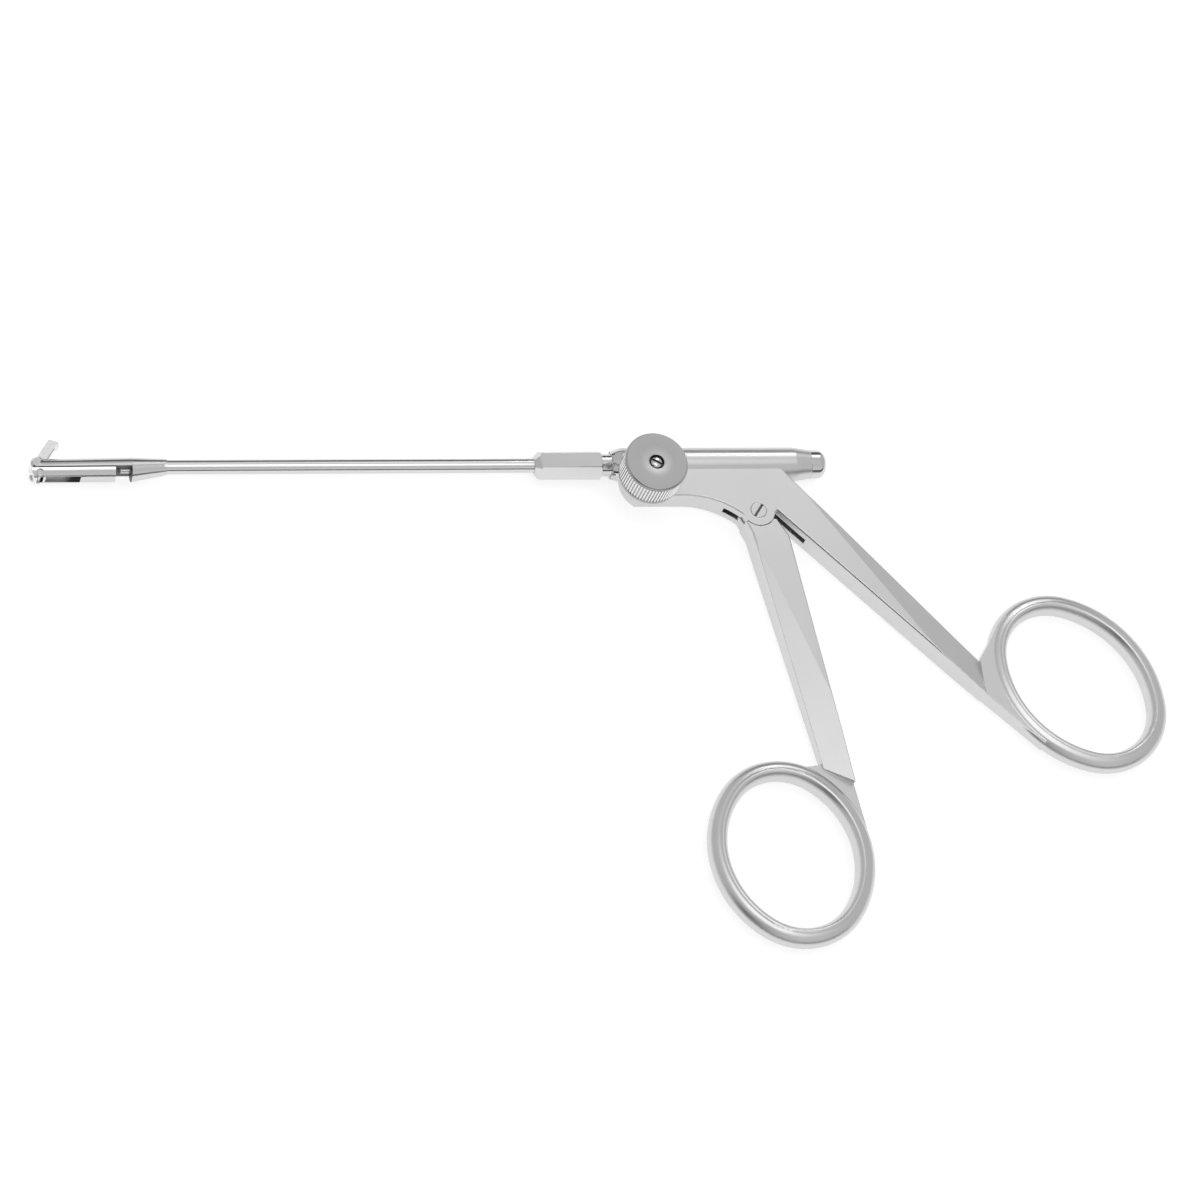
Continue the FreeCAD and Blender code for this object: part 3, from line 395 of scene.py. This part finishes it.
# painted highlight: the face's colour is lighter round the sunk screw and darker towards its rim
painted_halo_highlight = add(tree, "ShaderNodeMapRange", {
    "Value": out_from_axis.outputs["Value"], "From Min": 1.4 * MM, "From Max": 3.2 * MM,
    "To Min": 1.0, "To Max": 0.0}, interpolation_type="SMOOTHSTEP")
face_tone = add(tree, "ShaderNodeMix", {
    0: painted_halo_highlight.outputs["Result"], 6: linear("#AFAFAF"), 7: linear("#C6C6C6")}, data_type="RGBA")
knob_rough = add(tree, "ShaderNodeMapRange", {
    "Value": rings.outputs["Fac"], "From Min": 0.3, "From Max": 0.7, "To Min": 0.28, "To Max": 0.33})
knob_steel = add(tree, "ShaderNodeBsdfPrincipled", {
    "Base Color": face_tone.outputs[2], "Metallic": 1.0, "Roughness": knob_rough.outputs["Result"],
    "Normal": ring_bump.outputs["Normal"]})
add(tree, "ShaderNodeOutputMaterial", {"Surface": knob_steel.outputs["BSDF"]})
print("tool marks", TOOL_MARK_MM, "mm apart")

# %% [markdown]
# The outline runs from the bottom of the bore round the outside and down into the screw's seat. Each
# strip between two of its points knows its finish: the groove and the seat stay dull, and their darker
# steel is painted shade.

# %% Spin the knob's outline
KNURL_ROOT = knob_radius - 0.22 * MM
plain = knob_radius - 0.12 * MM
seat_radius = 1.325 * MM
seat_depth = 0.95 * MM
outline = [
    (1.1 * MM, knob_base), (plain - 0.45 * MM, knob_base), (plain - 0.12 * MM, knob_base + 0.12 * MM),
    (plain, knob_base + 0.4 * MM), (plain, knob_base + 0.8 * MM),
    (KNURL_ROOT - 0.04 * MM, knob_base + 0.95 * MM), (KNURL_ROOT, knob_base + 1.1 * MM),
    (KNURL_ROOT, knob_top - 0.95 * MM), (knob_radius - 0.45 * MM, knob_top - 0.85 * MM),
    (knob_radius - 0.45 * MM, knob_top - 0.62 * MM), (knob_radius - 0.05 * MM, knob_top - 0.52 * MM),
    (knob_radius, knob_top - 0.4 * MM), (knob_radius - 0.04 * MM, knob_top - 0.24 * MM),
    (knob_radius - 0.22 * MM, knob_top - 0.04 * MM), (knob_radius - 0.3 * MM, knob_top),
    (seat_radius + 1.4 * MM, knob_top), (seat_radius + 0.75 * MM, knob_top - 0.022 * MM),
    (seat_radius + 0.1 * MM, knob_top - 0.075 * MM), (seat_radius, knob_top - 0.15 * MM),
    (seat_radius, knob_top - seat_depth), (0.74 * MM, knob_top - seat_depth),
]
VALLEY_FROM, VALLEY_TO, SEAT_FROM = 7, 9, len(outline) - 3
STEPS = 160
work = bmesh.new()
columns = []
for step in range(STEPS):
    turn = 2 * math.pi * step / STEPS
    columns.append([work.verts.new((knob_axis.x + r * math.cos(turn), knob_axis.y + r * math.sin(turn), z))
                    for r, z in outline])
for step in range(STEPS):
    here, there = columns[step], columns[(step + 1) % STEPS]
    for k in range(len(outline) - 1):
        strip = work.faces.new((here[k], there[k], there[k + 1], here[k + 1]))
        # index 1 is the dark steel, painted shade in the groove under the face and in the screw's seat
        strip.material_index = 1 if k >= SEAT_FROM or VALLEY_FROM <= k < VALLEY_TO else 0
    work.faces.new((here[-1], there[-1], there[0], here[0]))
bmesh.ops.recalc_face_normals(work, faces=work.faces)
for face in work.faces:
    face.smooth = True
knob_mesh = bpy.data.meshes.new("turned_knob")
work.to_mesh(knob_mesh)
work.free()
knob_mesh.set_sharp_from_angle(angle=math.radians(20))
knob_mesh.materials.append(turned_knob_steel)
knob_mesh.materials.append(dull_steel_painted_shade)
knob = bpy.data.objects.new("turned_knob", knob_mesh)
bpy.context.scene.collection.objects.link(knob)
print("knob faces", len(knob_mesh.polygons))

# %% [markdown]
# ## Knurling with Geometry Nodes
# Straight knurling is one small ridge repeated all round the rim. That is what Geometry Nodes are
# good at: one ridge is a line with a flat-topped section, thinner at its lower end, and it is placed
# on every point of a circle. Its sizes are inputs of the tree, so the same tree could knurl any knob.

# %% The knurling tree
ridges = bpy.data.node_groups.new("straight_knurling", "GeometryNodeTree")
ridges.interface.new_socket("Geometry", in_out="OUTPUT", socket_type="NodeSocketGeometry")
inputs = {}
for name, kind in (("Count", "NodeSocketInt"), ("Radius", "NodeSocketFloat"),
                   ("Bottom", "NodeSocketFloat"), ("Top", "NodeSocketFloat"),
                   ("Foot", "NodeSocketFloat"), ("Crest", "NodeSocketFloat"),
                   ("Height", "NodeSocketFloat"), ("Centre", "NodeSocketVector"),
                   ("Material", "NodeSocketMaterial")):
    inputs[name] = ridges.interface.new_socket(name, in_out="INPUT", socket_type=kind).identifier
given = add(ridges, "NodeGroupInput")
rim = add(ridges, "GeometryNodeMeshCircle", {
    "Vertices": given.outputs["Count"], "Radius": given.outputs["Radius"]})
foot = add(ridges, "ShaderNodeCombineXYZ", {"Z": given.outputs["Bottom"]})
head = add(ridges, "ShaderNodeCombineXYZ", {"Z": given.outputs["Top"]})
spine = add(ridges, "GeometryNodeCurvePrimitiveLine", {
    "Start": foot.outputs["Vector"], "End": head.outputs["Vector"]})
spine_points = add(ridges, "GeometryNodeResampleCurve", {"Curve": spine.outputs["Curve"], "Count": 7})
along = add(ridges, "GeometryNodeSplineParameter")
ends_thin = add(ridges, "ShaderNodeFloatCurve", {"Value": along.outputs["Factor"]})
for where, thick in ((0.0, 0.3), (0.12, 1.0), (1.0, 1.0)):
    ends_thin.mapping.curves[0].points.new(where, thick)
ends_thin.mapping.update()
section = add(ridges, "GeometryNodeCurvePrimitiveQuadrilateral", {
    "Bottom Width": given.outputs["Foot"], "Top Width": given.outputs["Crest"],
    "Height": given.outputs["Height"], "Offset": 0.0}, mode="TRAPEZOID")
ridge = add(ridges, "GeometryNodeCurveToMesh", {
    "Curve": spine_points.outputs["Curve"], "Profile Curve": section.outputs["Curve"],
    "Fill Caps": True, "Scale": ends_thin.outputs["Value"]})
position = add(ridges, "GeometryNodeInputPosition")
facing = add(ridges, "FunctionNodeAlignRotationToVector", {"Vector": position.outputs["Position"]},
             axis="Y", pivot_axis="Z")
placed = add(ridges, "GeometryNodeInstanceOnPoints", {
    "Points": rim.outputs["Mesh"], "Instance": ridge.outputs["Mesh"],
    "Rotation": facing.outputs["Rotation"]})
real = add(ridges, "GeometryNodeRealizeInstances", {"Geometry": placed.outputs["Instances"]})
moved = add(ridges, "GeometryNodeTransform", {
    "Geometry": real.outputs["Geometry"], "Translation": given.outputs["Centre"]})
coloured = add(ridges, "GeometryNodeSetMaterial", {
    "Geometry": moved.outputs["Geometry"], "Material": given.outputs["Material"]})
add(ridges, "NodeGroupOutput", {"Geometry": coloured.outputs["Geometry"]})
print("knurling inputs:", list(inputs))

# %% [markdown]
# An object with no mesh of its own carries the tree. Its result is kept as a plain mesh, and the
# carrier goes, so that nothing live is left in the scene.

# %% Knurl the rim
KNURL_PITCH = 0.52 * MM
count = round(2 * math.pi * KNURL_ROOT / KNURL_PITCH)
carrier = bpy.data.objects.new("knurl_carrier", bpy.data.meshes.new("knurl_carrier"))
bpy.context.scene.collection.objects.link(carrier)
knurling = carrier.modifiers.new("knurling", "NODES")
knurling.node_group = ridges
for name, value in (("Count", count), ("Radius", KNURL_ROOT + 0.09 * MM),
                    ("Bottom", knob_base + 0.9 * MM), ("Top", knob_top - 0.62 * MM),
                    ("Foot", 0.37 * MM), ("Crest", 0.22 * MM), ("Height", 0.24 * MM),
                    ("Centre", (knob_axis.x, knob_axis.y, 0)),
                    ("Material", knurled_steel)):
    knurling[inputs[name]] = value
bpy.context.view_layer.update()
evaluated = carrier.evaluated_get(bpy.context.evaluated_depsgraph_get())
knurl_mesh = bpy.data.meshes.new_from_object(evaluated)
knurl_mesh.name = "knurled_rim"
knurl = bpy.data.objects.new("knurled_rim", knurl_mesh)
bpy.context.scene.collection.objects.link(knurl)
bpy.data.objects.remove(carrier)
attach(knob, "knob")
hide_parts("fixing_knob")
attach(knurl, "knob")
print("ridges", count, "faces", len(knurl_mesh.polygons))

# %% [markdown]
# ## Floor
# The instrument lies on plain pale paper. Its colour alone makes the background: seen by the camera,
# and mirrored in the steel, the paper gets a trace of its own light so that it reads as clean white,
# and the instrument's shadow still falls on it.

# %% Paper floor
PAPER_REACH = 3
PAPER_GLOW = 0.68
floor_mesh = bpy.data.meshes.new("paper_floor")
corners = [(PAPER_REACH * x, PAPER_REACH * y, 0) for x, y in ((-1, -1), (1, -1), (1, 1), (-1, 1))]
floor_mesh.from_pydata(corners, [], [(0, 1, 2, 3)])
floor = bpy.data.objects.new("paper_floor", floor_mesh)
bpy.context.scene.collection.objects.link(floor)
white_paper, tree = new_material("white_paper")
paper = add(tree, "ShaderNodeBsdfDiffuse", {"Color": linear("#CCCCCC"), "Roughness": 0.6})
ray = add(tree, "ShaderNodeLightPath")
seen = add(tree, "ShaderNodeMath", {0: ray.outputs["Is Camera Ray"], 1: ray.outputs["Is Glossy Ray"]},
           operation="MAXIMUM")
glow_strength = add(tree, "ShaderNodeMath", {0: seen.outputs[0], 1: PAPER_GLOW},
                    operation="MULTIPLY")
glow = add(tree, "ShaderNodeEmission", {"Color": linear("#FFFFFF"), "Strength": glow_strength.outputs[0]})
both = add(tree, "ShaderNodeAddShader")
tree.links.new(paper.outputs["BSDF"], both.inputs[0])
tree.links.new(glow.outputs["Emission"], both.inputs[1])
add(tree, "ShaderNodeOutputMaterial", {"Surface": both.outputs["Shader"]})
floor_mesh.materials.append(white_paper)
print("paper reaches", PAPER_REACH, "m each way")

# %% [markdown]
# ## Light
# Polished metal shows the studio, not itself, so the studio is what is designed here. Overhead the
# room is bright, at the height of the camera's mirror image it is a mid grey, which gives the flat
# plate its even grey face, and low down behind the instrument it is darker, which draws the dark side
# of the tubes. A window behind gives the bright line along every round piece. Each of them is a
# round card of light or shade with a soft edge, laid over the room one after the other.

# %% Studio room
# name, angle from straight up, compass angle, full inside, gone outside, light level
ROOM_LEVEL = 0.62
CARDS = (
    ("front_wall", 78, -70, 18, 45, 0.76),
    ("dark_corner", 84, 74, 18, 28, 0.12),
    ("ceiling", 12, -80, 12, 40, 0.72),
    ("rear_window", 38, 63.6, 5, 13, 1.15),
    ("left_flag", 61, -145, 9, 20, 0.06),
    ("photographer", 29.5, -124, 5, 12, 0.25),
)
GAP_FROM, GAP_TO, GAP_LEVEL = 17, 12, 0.05


def aimed(from_top, compass):
    tilt, turn = math.radians(from_top), math.radians(compass)
    return Vector((math.sin(tilt) * math.cos(turn), math.sin(tilt) * math.sin(turn), math.cos(tilt)))


world = bpy.data.worlds.new("studio_room")
bpy.context.scene.world = world
world.use_nodes = True
tree = world.node_tree
tree.nodes.clear()
toward = add(tree, "ShaderNodeTexCoord")
level = ROOM_LEVEL
for name, from_top, compass, inner, outer, value in CARDS:
    facing = add(tree, "ShaderNodeVectorMath", {
        0: toward.outputs["Generated"], 1: aimed(from_top, compass)}, operation="DOT_PRODUCT")
    inside = add(tree, "ShaderNodeMapRange", {
        "Value": facing.outputs["Value"], "From Min": math.cos(math.radians(outer)),
        "From Max": math.cos(math.radians(inner))}, interpolation_type="SMOOTHSTEP")
    step = add(tree, "ShaderNodeMix", {0: inside.outputs["Result"], 2: level, 3: value}, label=name)
    level = step.outputs[0]
# between the foot of the front wall and the paper is a dark gap. It draws a thin dark line along
# the lower side of every round piece and beside every edge.
sight = add(tree, "ShaderNodeSeparateXYZ", {"Vector": toward.outputs["Generated"]})
low_down = add(tree, "ShaderNodeMapRange", {
    "Value": sight.outputs["Z"], "From Min": math.sin(math.radians(GAP_FROM)),
    "From Max": math.sin(math.radians(GAP_TO))}, interpolation_type="SMOOTHSTEP")
in_front = add(tree, "ShaderNodeMapRange", {
    "Value": sight.outputs["Y"], "From Min": -0.3, "From Max": -0.6}, interpolation_type="SMOOTHSTEP")
gap = add(tree, "ShaderNodeMath", {
    0: low_down.outputs["Result"], 1: in_front.outputs["Result"]}, operation="MULTIPLY")
with_gap = add(tree, "ShaderNodeMix", {0: gap.outputs["Value"], 2: level, 3: GAP_LEVEL},
               label="front_gap")
room = add(tree, "ShaderNodeBackground", {"Color": (1, 1, 1, 1), "Strength": with_gap.outputs[0]})
add(tree, "ShaderNodeOutputWorld", {"Surface": room.outputs["Background"]})
print("cards:", [card[0] for card in CARDS])

# %% [markdown]
# The room alone would leave no shadow, so two soft boxes stand in it: a wide weak one overhead, and a
# small one behind.

# %% Soft boxes
def soft_box(name, width, height, place, aim, power):
    light = bpy.data.lights.new(name, "AREA")
    light.shape = "RECTANGLE"
    light.size, light.size_y = width, height
    light.energy = power
    lamp = bpy.data.objects.new(name, light)
    bpy.context.scene.collection.objects.link(lamp)
    lamp.location = place
    lamp.rotation_euler = (Vector(aim) - Vector(place)).to_track_quat("-Z", "Y").to_euler()
    return lamp


soft_box("overhead_box", 0.46, 0.50, (0.01, -0.03, 0.9), (0.01, -0.03, 0), 0.8)
soft_box("rear_strip", 0.11, 0.05, (0.145, 0.31, 0.245), (0.026, 0.043, 0), 0.10)

# %% [markdown]
# ## Camera
# The photograph was taken from above, a little in front and to the left, with a long lens. The
# direction from the object to the camera, the small roll and the point in the middle of the picture
# are enough to place it.

# %% Long lens from above
toward_camera = Vector((-0.2741, -0.40856, 0.8706)).normalized()
roll = math.radians(-0.738)
aim = Vector((-2.069, 16.917, 3.0)) * MM
distance = 748 * MM
level_up = Vector((0, toward_camera.z, -toward_camera.y)).normalized()
level_right = level_up.cross(toward_camera)
right = math.cos(roll) * level_right + math.sin(roll) * level_up
up = -math.sin(roll) * level_right + math.cos(roll) * level_up
lens = bpy.data.cameras.new("studio_camera")
lens.sensor_width = 36
lens.lens = 132
lens.clip_start, lens.clip_end = 0.01, 20
camera = bpy.data.objects.new("studio_camera", lens)
bpy.context.scene.collection.objects.link(camera)
camera.matrix_world = Matrix((
    (right.x, up.x, toward_camera.x, aim.x + toward_camera.x * distance),
    (right.y, up.y, toward_camera.y, aim.y + toward_camera.y * distance),
    (right.z, up.z, toward_camera.z, aim.z + toward_camera.z * distance),
    (0, 0, 0, 1)))
bpy.context.scene.camera = camera
bpy.context.scene.view_settings.view_transform = "Standard"
print("camera", round(distance, 3), "m away with a", lens.lens, "mm lens")
